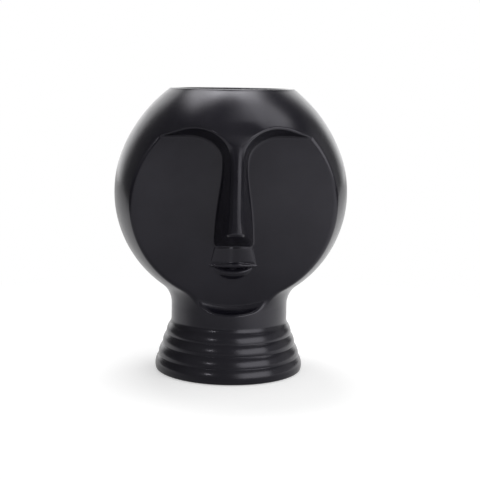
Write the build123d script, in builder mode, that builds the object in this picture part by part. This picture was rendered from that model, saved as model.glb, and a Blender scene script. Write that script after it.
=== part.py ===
from build123d import *
from math import acos, asin, cos, degrees, radians, sin
import os

# Face vase: a round head with a flat face, on a foot of four rounded rings.
# Millimetres. +Z is up, the face looks along -Y, and the origin is the centre of
# the surface that the vase stands on.

# Heights above that surface
vase_height = 220.0
pad_stand = 0.5
foot_height = 46.5

# Half outline of head and neck: a straight neck, a hollow sweep, the globe's arc and
# a flatter shoulder arc up to the rim, each tangent to the one before
neck_r = 45.4
sweep_r = 20.0
globe_r = 87.6
globe_centre_r = 2.6
globe_z = 140.0
shoulder_start_angle = 22.4
shoulder_r = 112.0

# Walls and mouth
mouth_r = 43.0
rim_rounding = 1.6
wall = 5.0
glaze = 0.5

# The foot's rings bulge between narrow grooves, given as (radius, height) from the top
# one down. A hollow flare leads from the neck into the top ring.
grooves = [(49.2, 29.2), (52.0, 20.5), (55.3, 11.8)]
ring_bulge_r = 12.0
groove_rounding = 0.7
flare_top_z = 41.0
flare_r = 7.85
flare_angle = 36.0

# The bare ring that the foot stands on
foot_edge_r = 57.2
foot_edge_rounding = 1.2

# The floor of the foot, and the pads under it
floor_r = 50.0
floor_low_z = 3.5
floor_top_z = 8.5
foot_bore_r = 47.0
pad_r = 6.0
pad_circle_r = 38.0
pad_count = 4

# The luted joint between head and foot
spigot_height = 2.5
spigot_r = 42.8

# The flat face, a round cut in front of the axis that leans forward at its top. Under
# the chin it ends in a ledge on the neck, with a wide hollow rounding.
face_y = 47.2
face_z = 134.2
face_lean = 7.0
face_disc_r = 82.0
face_disc_rounding = 5.5

# Brow and nose stand proud of the flat face. Half outline as (x, z), from the
# corner of the nose up its side and out along the brow to its tip: first at the
# relief's back, just behind the flat face, then at the nose's ridge.
relief_y = 41.5
ridge_depth = 34.0
relief_foot = [
    (15.4, 106.1), (15.1, 121.0), (12.7, 143.0), (10.8, 165.0), (13.4, 173.0),
    (19.0, 178.0), (30.5, 179.8), (40.0, 179.8), (50.0, 181.6), (58.0, 184.0),
]
relief_ridge = [
    (5.6, 117.0), (4.6, 125.0), (4.4, 142.0), (4.4, 165.0), (6.2, 178.5),
    (14.0, 188.3), (29.7, 197.4), (40.0, 198.0), (50.0, 194.1), (58.0, 190.0),
]
nose_corner = 2.0
nose_foot_z = 103.1
nose_tip_z = 115.5
relief_half_width = 100.0
relief_top_z = 240.0
ridge_blend_r = 30.0
nose_tip_rounding = 1.5
hollow_depth = 19.0

# Lips, as the height of the middle of each edge and one side's points (x, z) out to
# the corner of the mouth
lip_proud = 3.4
lip_parting_z = 86.5
upper_lip_top = (92.4, [(3.5, 93.3), (10.0, 92.0), (18.5, 88.6)])
upper_lip_low = (86.4, [(9.0, 86.6), (18.5, 88.6)])
lower_lip_top = (85.6, [(13.5, 86.3)])
lower_lip_low = (78.2, [(8.5, 80.2), (13.5, 86.3)])

# The raised groove between nose and mouth
philtrum_proud = 1.5
philtrum_top_half = 12.5
philtrum_low_half = 17.0
philtrum_low_z = 90.0

overlap = 10.0


# The head's body of revolution without its face, from low_z up to the rim, with its
# surface drawn in by a distance
def globe_form(inset, low_z):
    sweep_angle = acos((neck_r + sweep_r - globe_centre_r) / (globe_r + sweep_r))
    sweep_z = globe_z - (globe_r + sweep_r) * sin(sweep_angle)
    start_angle = radians(shoulder_start_angle)
    shoulder_z = globe_z - (shoulder_r - globe_r) * sin(start_angle)
    end_angle = asin((vase_height - shoulder_z) / (shoulder_r - inset))
    with BuildPart() as form:
        with BuildSketch(Plane.XZ):
            with BuildLine():
                neck = Line((neck_r - inset, low_z), (neck_r - inset, sweep_z))
                sweep = JernArc(neck @ 1, (0, 1), sweep_r + inset, -degrees(sweep_angle))
                globe = JernArc(sweep @ 1, sweep % 1, globe_r - inset,
                                degrees(sweep_angle + start_angle))
                shoulder = JernArc(globe @ 1, globe % 1, shoulder_r - inset,
                                   degrees(end_angle - start_angle))
                Polyline(shoulder @ 1, (0, vase_height), (0, low_z), neck @ 0)
            make_face()
        revolve(axis=Axis.Z)
    return form.part


# A plane on the flat face's surface, at a height
def face_plane(height):
    lean = radians(face_lean)
    front = face_y + (height - face_z) * sin(lean) / cos(lean)
    return Plane(origin=(0, -front, height), x_dir=(1, 0, 0), z_dir=(0, -cos(lean), -sin(lean)))


# Half outline of brow and nose at a depth in front of the relief's back, drawn in
# square to itself
def relief_points(depth, inset):
    share = depth / ridge_depth
    line = [Vector(*foot) + (Vector(*ridge) - Vector(*foot)) * share
            for foot, ridge in zip(relief_foot, relief_ridge)]
    moved = []
    for index, point in enumerate(line):
        before = line[max(index - 1, 0)]
        after = line[min(index + 1, len(line) - 1)]
        along = (after - before).normalized()
        moved.append((point.X - along.Y * inset, point.Y + along.X * inset))
    return moved


def relief_section(depth, inset):
    points = relief_points(depth, inset)
    low_z = nose_foot_z + (nose_tip_z - nose_foot_z) * depth / ridge_depth + inset
    corner = (points[0][0] - nose_corner, low_z)
    tip = points[-1]
    with BuildSketch(Plane.XZ.offset(relief_y + depth)) as section:
        with BuildLine():
            Polyline((0, low_z), corner, points[0])
            Spline(*points)
            Polyline(tip, (relief_half_width, tip[1]), (relief_half_width, relief_top_z),
                     (0, relief_top_z), (0, low_z))
        make_face()
        mirror(about=Plane.YZ)
    return section.sketch


# What is cut away in front of the globe, so that brow and nose stay standing
def face_pocket(inset, front_depth):
    with BuildPart() as relief:
        loft([relief_section(-inset, inset), relief_section(front_depth, inset)])
    with BuildPart() as pocket:
        with BuildSketch(face_plane(face_z).offset(-inset)):
            Circle(face_disc_r + inset)
        extrude(amount=globe_r)
        flat = pocket.faces().filter_by(GeomType.PLANE).sort_by(Axis.Y)[-1]
        fillet(flat.edges(), face_disc_rounding + inset)
        add(relief.part, mode=Mode.SUBTRACT)
    return pocket.part


# The room inside the vase, with its walls drawn in from the outside by a distance
def inside(inset):
    floor_z = floor_top_z + inset - wall
    with BuildPart() as room:
        add(globe_form(inset, foot_height))
        with BuildSketch(Plane.XZ):
            with BuildLine():
                Polyline((0, foot_height), (0, floor_z), (foot_bore_r + wall - inset, floor_z),
                         (neck_r - inset, foot_height), (0, foot_height))
            make_face()
        revolve(axis=Axis.Z)
        add(face_pocket(inset, hollow_depth + wall - inset), mode=Mode.SUBTRACT)
        with BuildSketch(Plane.XY.offset(vase_height - 3 * overlap)):
            Circle(mouth_r + wall - inset)
        extrude(amount=4 * overlap)
    return room.part


# A spline along one edge of a lip, from corner to corner, at heights above the parting
def lip_edge(middle_z, side_points):
    points = [(0, middle_z), *side_points]
    mirrored = [(-x, z) for x, z in reversed(side_points)]
    return Spline([(x, z - lip_parting_z) for x, z in mirrored + points])


room = inside(wall)

# Lips: a pillow inside each outline, cut by a ball so that it thins to its corners
lip_corner_x = upper_lip_top[1][-1][0]
lip_ball_r = (lip_corner_x**2 + lip_proud**2) / (2 * lip_proud)

with BuildPart() as lips:
    with BuildSketch(face_plane(lip_parting_z).offset(-wall / 2)):
        for top_edge, low_edge in ((upper_lip_top, upper_lip_low), (lower_lip_top, lower_lip_low)):
            with BuildLine():
                lip_edge(*top_edge)
                lip_edge(*low_edge)
            make_face()
    extrude(amount=wall / 2 + lip_proud)
    with Locations(face_plane(lip_parting_z).offset(lip_proud - lip_ball_r)):
        Sphere(lip_ball_r, mode=Mode.INTERSECT)

philtrum_height = nose_foot_z - philtrum_low_z
with BuildPart() as philtrum:
    with BuildSketch(face_plane(philtrum_low_z).offset(-wall / 2)):
        with BuildLine():
            Polyline((-philtrum_top_half, philtrum_height), (philtrum_top_half, philtrum_height),
                     (philtrum_low_half, 0), (-philtrum_low_half, 0), close=True)
        make_face()
    extrude(amount=wall / 2 + philtrum_proud)

with BuildPart() as head:
    add(globe_form(0.0, foot_height))
    add(face_pocket(0.0, ridge_depth), mode=Mode.SUBTRACT)
    add(lips.part)
    add(philtrum.part)
    add(room, mode=Mode.SUBTRACT)
    with BuildSketch(Plane.XY.offset(foot_height)):
        Circle(spigot_r)
    extrude(amount=spigot_height, mode=Mode.SUBTRACT)
    fillet(head.edges().group_by(Axis.Z)[-1], rim_rounding)
    ridge_front = head.faces().filter_by(GeomType.PLANE).sort_by(Axis.Y)[0]
    fillet(ridge_front.edges().group_by(Axis.Z)[-1], ridge_blend_r)
    nose_tip = head.faces().filter_by(GeomType.PLANE).sort_by(Axis.Y)[0]
    fillet(nose_tip.edges().group_by(Axis.Z)[0], nose_tip_rounding)

with BuildPart() as ribbed_foot:
    with BuildSketch(Plane.XZ) as foot_half:
        with BuildLine():
            neck_side = Line((neck_r, foot_height), (neck_r, flare_top_z))
            flare = JernArc(neck_side @ 1, neck_side % 1, flare_r, flare_angle)
            ring_top = flare @ 1
            for groove in [*grooves, (foot_edge_r, pad_stand)]:
                RadiusArc(ring_top, groove, ring_bulge_r)
                ring_top = groove
            Polyline(ring_top, (0, pad_stand), (0, foot_height), neck_side @ 0)
        make_face()
        fillet(foot_half.vertices().sort_by(Axis.X)[-1], foot_edge_rounding)
        fillet([corner for corner in foot_half.vertices() if (corner.X, corner.Y) in grooves],
               groove_rounding)
    revolve(axis=Axis.Z)
    with BuildSketch(Plane.XY.offset(foot_height)):
        Circle(spigot_r)
    extrude(amount=spigot_height)
    add(room, mode=Mode.SUBTRACT)
    with BuildSketch(Plane.XY):
        Circle(floor_r)
    extrude(amount=floor_top_z, mode=Mode.SUBTRACT)

with BuildPart() as foot_floor:
    with BuildSketch(Plane.XY.offset(floor_low_z)):
        Circle(floor_r)
    extrude(amount=floor_top_z - floor_low_z)

with BuildPart() as liner_glaze:
    add(room)
    add(inside(wall + glaze), mode=Mode.SUBTRACT)
    split(bisect_by=Plane.XY.offset(vase_height - 2 * rim_rounding), keep=Keep.BOTTOM)

pieces = {
    "head": head.part,
    "ribbed_foot": ribbed_foot.part,
    "foot_floor": foot_floor.part,
    "liner_glaze": liner_glaze.part,
}

pad_places = PolarLocations(pad_circle_r, pad_count, start_angle=45.0)
for number, place in enumerate(pad_places.locations, start=1):
    with BuildPart() as foot_pad:
        with BuildSketch(Plane(place.position)):
            Circle(pad_r)
        extrude(amount=floor_low_z)
        fillet(foot_pad.edges().group_by(Axis.Z)[0], pad_stand)
    pieces[f"foot_pad_{number}"] = foot_pad.part

os.makedirs("parts", exist_ok=True)
for name, piece in pieces.items():
    piece.label = name
    export_step(piece, f"parts/{name}.step")
    print(name, round(piece.volume), piece.is_valid, len(piece.solids()))
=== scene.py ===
"""Dresses the face vase around its CAD frame, and sets its floor, light and camera."""

import logging
import math
from dataclasses import dataclass, field
from enum import Enum
from typing import ClassVar, Union

import bmesh
import bpy
import numpy as np
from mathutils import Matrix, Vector


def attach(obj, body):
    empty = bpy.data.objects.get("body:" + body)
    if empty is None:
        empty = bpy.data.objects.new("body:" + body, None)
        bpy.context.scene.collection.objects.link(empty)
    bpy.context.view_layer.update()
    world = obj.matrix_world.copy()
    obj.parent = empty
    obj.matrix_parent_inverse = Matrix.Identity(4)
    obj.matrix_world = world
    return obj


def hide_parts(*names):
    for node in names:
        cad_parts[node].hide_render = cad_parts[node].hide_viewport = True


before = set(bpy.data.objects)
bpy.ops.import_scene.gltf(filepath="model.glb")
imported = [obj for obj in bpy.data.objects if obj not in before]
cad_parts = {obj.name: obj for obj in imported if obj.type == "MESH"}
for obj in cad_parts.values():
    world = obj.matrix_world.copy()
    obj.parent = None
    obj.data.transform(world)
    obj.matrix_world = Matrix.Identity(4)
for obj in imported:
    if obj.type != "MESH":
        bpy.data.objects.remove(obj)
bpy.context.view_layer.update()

MM = 0.001
SHARP_FROM = math.radians(60.0)
POLE_R = 0.02
RAY_REACH = 80.0
RAY_HALVINGS = 24
BODY = "root"
LOG = logging.getLogger("face_vase")

Point = tuple[float, float]
Zone = tuple[float, float, int]
Socket = bpy.types.NodeSocket
Value = Union[Socket, float]


def soft_union(a: np.ndarray, b: np.ndarray, radius: float) -> np.ndarray:
    """Joins two solids and fills the crease between them.

    Args:
        a: Signed distance to the first solid, negative inside it.
        b: Signed distance to the second solid.
        radius: Radius of the fillet in the crease.

    Returns:
        Signed distance to the joined solid.
    """
    near_a = np.maximum(radius - a, 0.0)
    near_b = np.maximum(radius - b, 0.0)
    return np.maximum(radius, np.minimum(a, b)) - np.hypot(near_a, near_b)


def soft_cut(a: np.ndarray, b: np.ndarray, radius: float) -> np.ndarray:
    """Keeps what two solids share and rounds the edge between them.

    Args:
        a: Signed distance to the first solid, negative inside it.
        b: Signed distance to the second solid.
        radius: Radius of the rounded edge.

    Returns:
        Signed distance to the shared solid.
    """
    return -soft_union(-a, -b, radius)


def smoothstep(value: np.ndarray, low: float, high: float) -> np.ndarray:
    """Rises smoothly from 0 at low to 1 at high."""
    share = np.clip((value - low) / (high - low), 0.0, 1.0)
    return share * share * (3.0 - 2.0 * share)


def natural_spline(knots: np.ndarray, values: np.ndarray, at: np.ndarray) -> np.ndarray:
    """Reads a natural cubic spline through given values.

    Args:
        knots: Rising places of the values.
        values: One row for each knot.
        at: Places to read.

    Returns:
        The spline's values there, one row for each place.
    """
    count = len(knots)
    step = np.diff(knots)
    slope = np.diff(values, axis=0) / step[:, None]
    matrix = np.eye(count)
    right = np.zeros_like(values)
    for row in range(1, count - 1):
        matrix[row, row - 1] = step[row - 1]
        matrix[row, row] = 2.0 * (step[row - 1] + step[row])
        matrix[row, row + 1] = step[row]
        right[row] = 6.0 * (slope[row] - slope[row - 1])
    bend = np.linalg.solve(matrix, right)
    index = np.clip(np.searchsorted(knots, at) - 1, 0, count - 2)
    gap = step[index][:, None]
    after = (at - knots[index])[:, None]
    before = gap - after
    return (
        (bend[index] * before**3 + bend[index + 1] * after**3) / (6.0 * gap)
        + (values[index] / gap - bend[index] * gap / 6.0) * before
        + (values[index + 1] / gap - bend[index + 1] * gap / 6.0) * after
    )


def spaced(zones: tuple[Zone, ...], share: float = 1.0) -> np.ndarray:
    """Places spaced evenly within each zone.

    Args:
        zones: Start, end and number of places of each zone.
        share: Share of the places that is kept.

    Returns:
        All places in order, without the last zone's end.
    """
    return np.concatenate([
        np.linspace(low, high, max(int(count * share), 2), endpoint=False) for low, high, count in zones
    ])


@dataclass(frozen=True)
class Outline:
    """The head's half outline in millimetres: neck, hollow sweep, globe and shoulder."""

    neck_r: float = 45.4
    sweep_r: float = 20.0
    globe_r: float = 87.6
    centre_r: float = 2.6
    centre_z: float = 140.0
    shoulder_from: float = math.radians(22.4)
    shoulder_r: float = 112.0
    low_z: float = 46.5
    top_z: float = 220.0

    @property
    def sweep_angle(self) -> float:
        """Angle below the globe's centre at which the hollow sweep begins."""
        return math.acos((self.neck_r + self.sweep_r - self.centre_r) / (self.globe_r + self.sweep_r))

    @property
    def sweep_z(self) -> float:
        """Height of the hollow sweep's centre, where the straight neck ends."""
        return self.centre_z - (self.globe_r + self.sweep_r) * math.sin(self.sweep_angle)

    @property
    def shoulder_centre(self) -> Point:
        """Centre of the shoulder's arc.

        Returns:
            Radius and height of the centre.
        """
        back = self.shoulder_r - self.globe_r
        return (
            self.centre_r - back * math.cos(self.shoulder_from),
            self.centre_z - back * math.sin(self.shoulder_from),
        )

    def distance(self, radius: np.ndarray, height: np.ndarray) -> np.ndarray:
        """Signed distance to the turned outline.

        Args:
            radius: Distances from the vase's axis.
            height: Heights above the table.

        Returns:
            Distances, negative inside.
        """
        across = radius - self.centre_r
        above = height - self.centre_z
        angle = np.arctan2(above, across)
        globe = np.hypot(across, above) - self.globe_r
        centre_r, centre_z = self.shoulder_centre
        shoulder = np.hypot(radius - centre_r, height - centre_z) - self.shoulder_r
        sweep_centre_r = self.neck_r + self.sweep_r
        sweep = self.sweep_r - np.hypot(radius - sweep_centre_r, height - self.sweep_z)
        lower = np.where(height > self.sweep_z, sweep, radius - self.neck_r)
        upper = np.where(angle > self.shoulder_from, shoulder, globe)
        return np.where(angle > -self.sweep_angle, upper, lower)

    def radius_at(self, height: float) -> float:
        """Radius of the outline at a height.

        Args:
            height: Height above the table.

        Returns:
            The outline's distance from the axis.
        """
        if height <= self.sweep_z:
            return self.neck_r
        low_join = self.centre_z - self.globe_r * math.sin(self.sweep_angle)
        high_join = self.centre_z + self.globe_r * math.sin(self.shoulder_from)
        if height < low_join:
            drop = height - self.sweep_z
            return self.neck_r + self.sweep_r - math.sqrt(self.sweep_r**2 - drop**2)
        if height < high_join:
            return self.centre_r + math.sqrt(self.globe_r**2 - (height - self.centre_z) ** 2)
        centre_r, centre_z = self.shoulder_centre
        return centre_r + math.sqrt(self.shoulder_r**2 - (height - centre_z) ** 2)


@dataclass(frozen=True)
class NoseAndBrow:
    """Brow and nose, proud of the flat face. Points are (x, z) in millimetres."""

    foot: tuple[Point, ...] = (
        (15.4, 106.1), (15.1, 121.0), (12.7, 143.0), (10.8, 165.0), (13.4, 173.0),
        (19.0, 178.0), (30.5, 179.8), (40.0, 179.8), (50.0, 181.6), (58.0, 184.0),
    )
    ridge: tuple[Point, ...] = (
        (5.6, 117.0), (4.6, 125.0), (4.4, 142.0), (4.4, 165.0), (6.2, 178.5),
        (14.0, 188.3), (29.7, 197.4), (40.0, 198.0), (50.0, 194.1), (58.0, 190.0),
    )
    back_y: float = 41.5
    ridge_depth: float = 34.0
    nose_low_z: float = 103.1
    nose_tip_z: float = 115.5
    nose_low_rounding: float = 2.2
    blend_r: float = 30.0
    crown_drop: float = 1.6
    crown_reach: float = 1.6
    crown_points: int = 6
    crown_fade: Point = (168.0, 194.0)
    samples: int = 56
    nose_run_on: float = 30.0
    brow_run_on: float = 60.0
    side_lean: float = 0.95
    depth_limits: Point = (-0.3, 1.15)
    chunk: int = 16384

    def crown(self, x: np.ndarray, z: np.ndarray) -> np.ndarray:
        """How far the rounded ridge falls back beside its middle.

        Args:
            x: Places across the ridge.
            z: Heights above the table.

        Returns:
            Depths behind the ridge's middle line, fading out on the forehead.
        """
        half_x, half_z = zip(*self.ridge[:self.crown_points])
        share = np.minimum(np.abs(x) / np.interp(z, half_z, half_x), self.crown_reach)
        return self.crown_drop * share**2 * (1.0 - smoothstep(z, *self.crown_fade))

    def lines(self) -> tuple[np.ndarray, np.ndarray]:
        """Both outlines as dense rows of points, run on past their two ends.

        Returns:
            The outline at the relief's back and the outline at the ridge.
        """
        foot = np.array(self.foot)
        ridge = np.array(self.ridge)
        middle = (foot + ridge) / 2.0
        knots = np.concatenate([[0.0], np.cumsum(np.hypot(*np.diff(middle, axis=0).T))])
        at = np.linspace(0.0, knots[-1], self.samples)
        dense = []
        for line in (foot, ridge):
            inner = natural_spline(knots, line, at)
            back = inner[0] - inner[1]
            low = inner[0] + back / np.hypot(*back) * self.nose_run_on
            far = np.array([line[-1][0] + self.brow_run_on, line[-1][1]])
            dense.append(np.vstack([low, inner, far]))
        return dense[0], dense[1]

    def line_distance(self, x: np.ndarray, z: np.ndarray, depth: np.ndarray) -> np.ndarray:
        """Signed distance across the face to the outline of brow and nose.

        Args:
            x: Places across the face, on its positive side.
            z: Heights above the table.
            depth: Depths in front of the relief's back.

        Returns:
            Distances, negative on the side of the brow and nose.
        """
        foot, ridge = self.lines()
        result = np.empty_like(x)
        for start in range(0, len(x), self.chunk):
            part = slice(start, start + self.chunk)
            share = np.clip(depth[part] / self.ridge_depth, *self.depth_limits)[:, None]
            line_x = foot[:, 0] + (ridge[:, 0] - foot[:, 0]) * share
            line_z = foot[:, 1] + (ridge[:, 1] - foot[:, 1]) * share
            run_x = np.diff(line_x, axis=1)
            run_z = np.diff(line_z, axis=1)
            to_x = x[part, None] - line_x[:, :-1]
            to_z = z[part, None] - line_z[:, :-1]
            along = np.clip((to_x * run_x + to_z * run_z) / (run_x**2 + run_z**2), 0.0, 1.0)
            gap = np.hypot(to_x - along * run_x, to_z - along * run_z)
            rows = np.arange(len(gap))
            near = np.argmin(gap, axis=1)
            turn = run_x[rows, near] * to_z[rows, near] - run_z[rows, near] * to_x[rows, near]
            result[part] = np.where(turn > 0.0, -1.0, 1.0) * gap[rows, near]
        return result

    def distance(self, x: np.ndarray, y: np.ndarray, z: np.ndarray) -> np.ndarray:
        """Signed distance to the relief, without the front of its ridge.

        Args:
            x: Places across the face.
            y: Places along the way that the face looks, negative in front.
            z: Heights above the table.

        Returns:
            Distances, negative inside.
        """
        depth = -y - self.back_y
        sides = self.line_distance(np.abs(x), z, depth) * self.side_lean
        tip_run = (self.nose_tip_z - self.nose_low_z) / self.ridge_depth
        under = (self.nose_low_z + tip_run * depth - z) / math.hypot(1.0, tip_run)
        return soft_cut(sides, under, self.nose_low_rounding)


@dataclass(frozen=True)
class Mouth:
    """Lips and the raised groove over them, as heights on the flat face in millimetres."""

    half_width: float = 18.5
    corner_z: float = 88.6
    parting_z: float = 86.3
    parting_gap: float = 0.3
    taper: float = 2.5
    upper_proud: float = 3.0
    upper_fullness: float = 0.8
    top_curve: float = 2.2
    bow_z: float = 92.4
    bow_peak_x: float = 4.2
    bow_peak: float = 1.1
    bow_width: float = 2.6
    lower_proud: float = 2.8
    lower_fullness: float = 0.75
    lower_half: float = 14.5
    lower_low_z: float = 78.2
    philtrum_top_z: float = 104.0
    philtrum_top_half: float = 14.0
    philtrum_low_half: float = 17.5
    philtrum_proud: float = 2.0
    philtrum_end: Point = (102.0, 106.0)
    groove_half: float = 2.4
    groove_depth: float = 0.45
    least_height: float = 0.05

    def parting(self, share: np.ndarray) -> np.ndarray:
        """Height of the line between the lips at a share of the mouth's half width."""
        return self.parting_z + (self.corner_z - self.parting_z) * share**2

    def upper_lip(self, side: np.ndarray, z: np.ndarray) -> np.ndarray:
        """How far the upper lip stands proud.

        Args:
            side: Distances from the middle of the face.
            z: Heights above the table.

        Returns:
            Heights in front of the flat face.
        """
        share = np.clip(side / self.half_width, 0.0, 1.0)
        parting = self.parting(share)
        bow = self.bow_peak * np.exp(-(((side - self.bow_peak_x) / self.bow_width) ** 2))
        arch = (self.bow_z - self.corner_z) * (1.0 - share**self.top_curve)
        top = self.corner_z + arch + bow * (1.0 - share)
        rise = np.clip((z - parting) / np.maximum(top - parting, self.least_height), 0.0, 1.0)
        swell = np.sin(np.pi * rise**self.upper_fullness) ** self.upper_fullness
        proud = self.upper_proud * (1.0 - share**self.taper) * swell
        return np.where((rise > 0.0) & (rise < 1.0), proud, 0.0)

    def lower_lip(self, side: np.ndarray, z: np.ndarray) -> np.ndarray:
        """How far the lower lip stands proud.

        Args:
            side: Distances from the middle of the face.
            z: Heights above the table.

        Returns:
            Heights in front of the flat face.
        """
        top = self.parting(np.clip(side / self.half_width, 0.0, 1.0)) - self.parting_gap
        share = np.clip(side / self.lower_half, 0.0, 1.0)
        low = top - (self.parting_z - self.parting_gap - self.lower_low_z) * np.sqrt(1.0 - share**2)
        fall = np.clip((top - z) / np.maximum(top - low, self.least_height), 0.0, 1.0)
        proud = self.lower_proud * (1.0 - share**self.taper) * np.sin(np.pi * fall**self.lower_fullness)
        return np.where((fall > 0.0) & (fall < 1.0), proud, 0.0)

    def philtrum(self, x: np.ndarray, z: np.ndarray) -> np.ndarray:
        """How far the pillow with the groove stands proud.

        Args:
            x: Places across the face.
            z: Heights above the table.

        Returns:
            Heights in front of the flat face.
        """
        down = np.clip((self.philtrum_top_z - z) / (self.philtrum_top_z - self.corner_z), 0.0, 1.0)
        half = self.philtrum_top_half + (self.philtrum_low_half - self.philtrum_top_half) * down
        across = np.clip(1.0 - (x / half) ** 2, 0.0, 1.0)
        groove = self.groove_depth * np.exp(-((x / self.groove_half) ** 2))
        fade = smoothstep(z, self.parting_z + 1.0, self.bow_z) * (1.0 - smoothstep(z, *self.philtrum_end))
        return (self.philtrum_proud * np.sqrt(across) - groove) * fade * (across > 0.0)

    def height(self, x: np.ndarray, z: np.ndarray) -> np.ndarray:
        """How far the mouth stands proud of the flat face.

        Args:
            x: Places across the face.
            z: Heights above the table.

        Returns:
            Heights in front of the flat face.
        """
        side = np.abs(x)
        lips = np.maximum(self.upper_lip(side, z), self.lower_lip(side, z))
        return np.maximum(lips, np.maximum(self.philtrum(x, z), 0.0))


@dataclass(frozen=True)
class FaceForm:
    """The head's outer form: a turned globe with a flat face, brow, nose and mouth cut into it."""

    outline: Outline = Outline()
    relief: NoseAndBrow = NoseAndBrow()
    mouth: Mouth = Mouth()
    face_y: float = 47.2
    face_z: float = 134.2
    lean: float = math.radians(7.0)
    disc_r: float = 82.0
    disc_rounding: float = 5.5
    brow_edge_r: float = 1.9
    crease_r: float = 1.3
    front_from: float = -15.0

    def ridge_front(self, z: np.ndarray) -> np.ndarray:
        """How far in front of the axis the nose's ridge stands.

        Args:
            z: Heights above the table.

        Returns:
            Distances in front of the axis, one for each height.
        """
        front = self.relief.back_y + self.relief.ridge_depth
        blend = self.relief.blend_r
        centre_r, centre_z = self.outline.shoulder_centre
        reach = self.outline.shoulder_r - blend
        blend_r = front - blend
        blend_z = centre_z + math.sqrt(reach**2 - (blend_r - centre_r) ** 2)
        rise = np.clip(z - blend_z, 0.0, blend * (blend_z - centre_z) / reach)
        curved = blend_r + np.sqrt(blend**2 - rise**2)
        slope = (blend_z - centre_z) / (blend_r - centre_r)
        return np.where(z > blend_z, curved - (z - blend_z - rise) * slope, front)

    def flat_front(self, z: float) -> float:
        """How far in front of the axis the flat face stands at a height."""
        return self.face_y + (z - self.face_z) * math.tan(self.lean)

    def distance(self, points: np.ndarray) -> np.ndarray:
        """Signed distance to the head's outer surface.

        Args:
            points: Rows of (x, y, z) in millimetres.

        Returns:
            Distances, negative inside.
        """
        x, y, z = points.T
        result = self.outline.distance(np.hypot(x, y), z)
        front = y < self.front_from
        if not front.any():
            return result
        x, y, z = x[front], y[front], z[front]
        back = y + self.face_y
        up = z - self.face_z
        face = -back * math.cos(self.lean) - up * math.sin(self.lean) - self.mouth.height(x, z)
        along = up * math.cos(self.lean) - back * math.sin(self.lean)
        step = self.disc_r - np.hypot(x, along)
        kept = soft_union(face, self.relief.distance(x, y, z), self.crease_r)
        kept = soft_union(kept, step, self.disc_rounding)
        ridge = -y - (self.ridge_front(z) - self.relief.crown(x, z))
        solid = soft_cut(result[front], kept, self.brow_edge_r)
        result[front] = soft_cut(solid, ridge, self.brow_edge_r)
        return result


@dataclass(frozen=True)
class Rays:
    """Starting places and directions that reach every point of the head's surface once.

    A column's value is 0 at the middle of the face, 50 at the corner of its starting line and
    100 at the middle of the back.
    """

    form: FaceForm
    corner: Point = (50.0, 25.0)
    full_r: float = 90.2
    nose_half: float = 18.0
    nose_columns: tuple[float, ...] = (0.0, 4.4, 11.2)
    ridge_half: tuple[Point, ...] = ((117.0, 5.6), (125.0, 4.6), (142.0, 4.4), (168.0, 4.4))
    foot_half: tuple[Point, ...] = ((117.0, 14.0), (142.0, 11.1), (168.0, 9.1))
    angle_columns: tuple[float, ...] = (50.0, 60.0, 70.0, 100.0)
    edge_angles: Point = (math.radians(25.0), math.radians(62.0))
    side_angle: float = math.radians(100.0)
    coarse_share: float = 0.45
    zones: tuple[Zone, ...] = (
        (0.0, 3.2, 9), (3.2, 5.6, 17), (5.6, 10.0, 12), (10.0, 12.4, 10), (12.4, 18.0, 10),
        (18.0, 50.0, 34), (50.0, 58.0, 12), (58.0, 62.0, 18), (62.0, 70.0, 12), (70.0, 100.0, 44),
    )

    def columns(self, fine: bool) -> np.ndarray:
        """Rising column values; a fine set follows the face's forms more closely."""
        return np.append(spaced(self.zones, 1.0 if fine else self.coarse_share), 100.0)

    def at(self, column: np.ndarray, z: float) -> tuple[np.ndarray, np.ndarray, np.ndarray]:
        """Rays of one row.

        Args:
            column: Column values, 0 to 100.
            z: The row's height in millimetres.

        Returns:
            Starting x, starting y and direction angle from the face's middle, one for each column.
        """
        radius = self.form.outline.radius_at(z)
        corner_x, corner_y = (size * (radius / self.full_r) for size in self.corner)
        ridge_x = np.interp(z, *zip(*self.ridge_half))
        foot_x = np.interp(z, *zip(*self.foot_half))
        nose_x = np.interp(column, (*self.nose_columns, self.nose_half),
                           (0.0, ridge_x, foot_x, self.nose_half))
        span = (corner_x - self.nose_half) / (self.angle_columns[0] - self.nose_half)
        cheek_x = self.nose_half + (column - self.nose_half) * span
        start_x = np.where(column < self.nose_half, nose_x, np.minimum(cheek_x, corner_x))
        face_y = self.form.flat_front(z)
        edge_x = math.sqrt(max(radius**2 - face_y**2, 1.0))
        edge = math.atan2(edge_x - corner_x, face_y - corner_y)
        edge = min(max(edge, self.edge_angles[0]), self.edge_angles[1])
        angle = np.interp(column, self.angle_columns, (0.0, edge, self.side_angle, math.pi))
        radial = angle > math.atan2(corner_x, corner_y)
        reach = np.hypot(corner_x, corner_y)
        start_x = np.where(radial, reach * np.sin(angle), start_x)
        start_y = np.where(radial, -reach * np.cos(angle), -corner_y)
        return start_x, start_y, angle


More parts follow.
